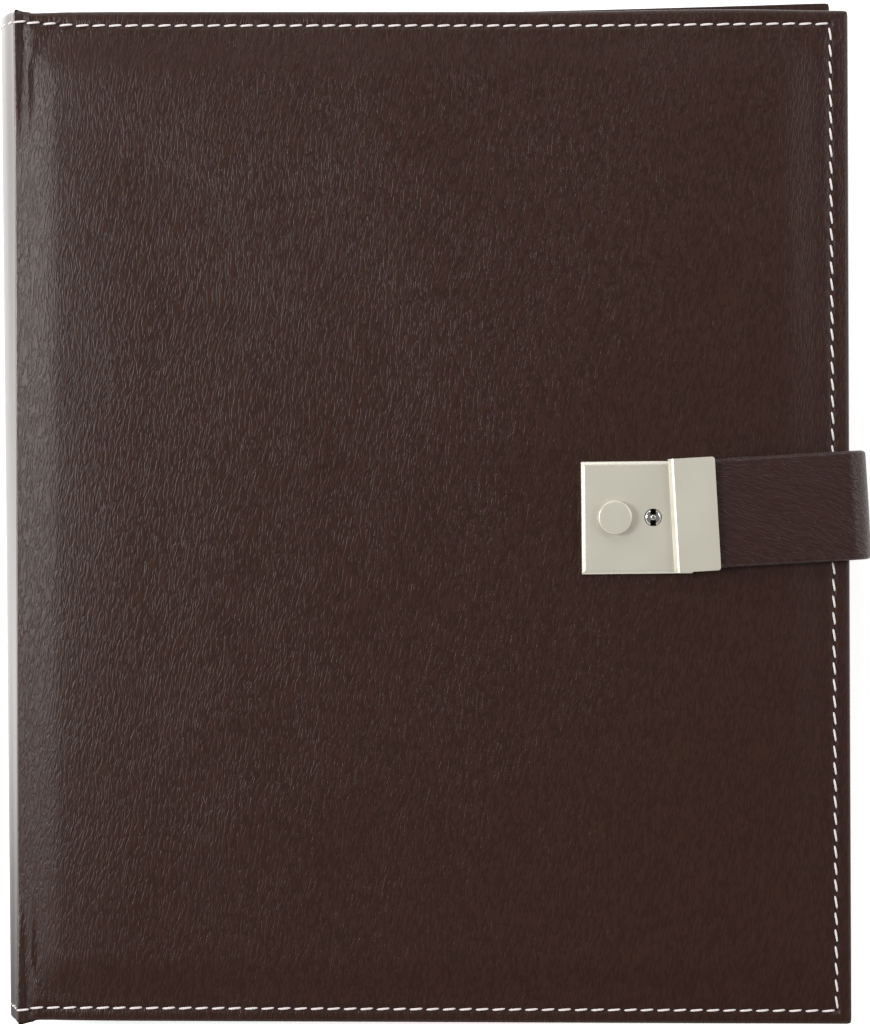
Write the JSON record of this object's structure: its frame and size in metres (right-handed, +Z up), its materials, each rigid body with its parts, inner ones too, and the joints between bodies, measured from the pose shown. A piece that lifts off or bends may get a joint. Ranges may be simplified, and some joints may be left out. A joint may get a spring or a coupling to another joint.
{
  "type": "document portfolio",
  "caption": "Padded leathercloth document portfolio with stitched covers, a round spine, a strap with a locking hasp, and a ring mechanism with clear pockets inside.",
  "frame": {"origin": "on the rear cover's outer face, the face the closed portfolio lies on, under the middle of the front cover", "axes": "+X from spine to fore-edge, +Y from tail to head, +Z up through the closed portfolio"},
  "size_m": [0.2753, 0.3279, 0.0422],
  "materials": {
    "leathercloth": "fine-grained brown leathercloth, soft sheen",
    "hinge_cloth": "the same cloth, worked into the hinge grooves",
    "strap_leather": "fine-grained brown leathercloth strap",
    "thread": "white sewing thread",
    "foam": "soft padding",
    "board": "grey-brown book board",
    "lining": "dark woven lining",
    "satin_nickel": "satin champagne nickel",
    "steel": "plain sheet steel and rivets",
    "key_chrome": "bright chrome",
    "ring_steel": "bright nickel-plated steel",
    "clear_film": "clear plastic film"
  },
  "bodies": {
    "rear_cover": {"rear_skin": "leathercloth", "rear_padding": "foam", "rear_board": "board", "rear_lining": "lining", "rear_stitching": "thread", "strap_root": "strap_leather", "strap_rivets": "steel", "ring_hull": "ring_steel", "ring_rivets": "steel", "pocket_stack": "clear_film"},
    "spine": {"spine_skin": "leathercloth", "spine_board": "board", "spine_lining": "lining", "spine_stitching": "thread", "front_hinge": "hinge_cloth", "rear_hinge": "hinge_cloth"},
    "front_cover": {"front_skin": "leathercloth", "front_padding": "foam", "front_board": "board", "front_lining": "lining", "front_stitching": "thread", "lock_plate": "satin_nickel", "lock_case": "steel", "lock_backing": "steel", "lock_rivets": "steel", "button_springs": "steel"},
    "button": {"lock_button": "satin_nickel"},
    "bolt": {"lock_bolt": "steel"},
    "plug": {"key_plug": "key_chrome"},
    "strap": {"strap_bend": "strap_leather", "strap_band": "strap_leather", "hasp_shell": "satin_nickel", "hasp_back": "steel", "hasp_rivets": "steel"},
    "ring_left": {"blade_left": "ring_steel", "rings_left": "ring_steel"},
    "ring_right": {"blade_right": "ring_steel", "rings_right": "ring_steel"},
    "leaf": {"pocket_leaf": "clear_film"}
  },
  "joints": [
    {"name": "cover_open", "type": "hinge", "parent": "spine", "child": "front_cover", "pos_m": [-0.13112, 0, 0.0348], "axis": [0, -1, 0], "range_deg": [0, 90], "deforming": ["front_hinge"]},
    {"name": "spine_fold", "type": "hinge", "parent": "rear_cover", "child": "spine", "pos_m": [-0.13112, 0, 0.0012], "axis": [0, -1, 0], "range_deg": [0, 90], "deforming": ["rear_hinge"]},
    {"name": "leaf_turn", "type": "hinge", "parent": "rear_cover", "child": "leaf", "pos_m": [-0.10855, 0.00263, 0.0178], "axis": [0.0192, -0.9998, 0], "range_deg": [0, 162]},
    {"name": "strap_swing", "type": "hinge", "parent": "rear_cover", "child": "strap", "pos_m": [0.1342, 0.004, 0.018], "axis": [-0.0576, 0.9983, 0], "range_deg": [0, 150], "deforming": ["strap_bend"]},
    {"name": "button_press", "type": "slide", "parent": "front_cover", "child": "button", "axis": [0, 0, -1], "range_m": [0, 0.002], "stiffness_N_per_m": 600, "springref_m": -0.001, "deforming": ["button_springs"]},
    {"name": "bolt_draw", "type": "slide", "parent": "front_cover", "child": "bolt", "axis": [-1, 0, 0], "range_m": [0, 0.002]},
    {"name": "key_turn", "type": "hinge", "parent": "front_cover", "child": "plug", "pos_m": [0.0671, 0, 0.036], "axis": [0, 0, -1], "range_deg": [0, 90]},
    {"name": "ring_left_open", "type": "hinge", "parent": "rear_cover", "child": "ring_left", "pos_m": [-0.11785, 0.00245, 0.0074], "axis": [0.0192, -0.9998, 0], "range_deg": [0, 12]},
    {"name": "ring_right_open", "type": "hinge", "parent": "rear_cover", "child": "ring_right", "pos_m": [-0.09925, 0.00281, 0.0074], "axis": [-0.0192, 0.9998, 0], "range_deg": [0, 12]}
  ],
  "couplings": [
    {"joint": "spine_fold", "follows": "cover_open", "ratio": 1},
    {"joint": "leaf_turn", "follows": "cover_open", "ratio": 1.8},
    {"joint": "bolt_draw", "follows": "button_press", "ratio": 1},
    {"joint": "ring_right_open", "follows": "ring_left_open", "ratio": 1}
  ]
}
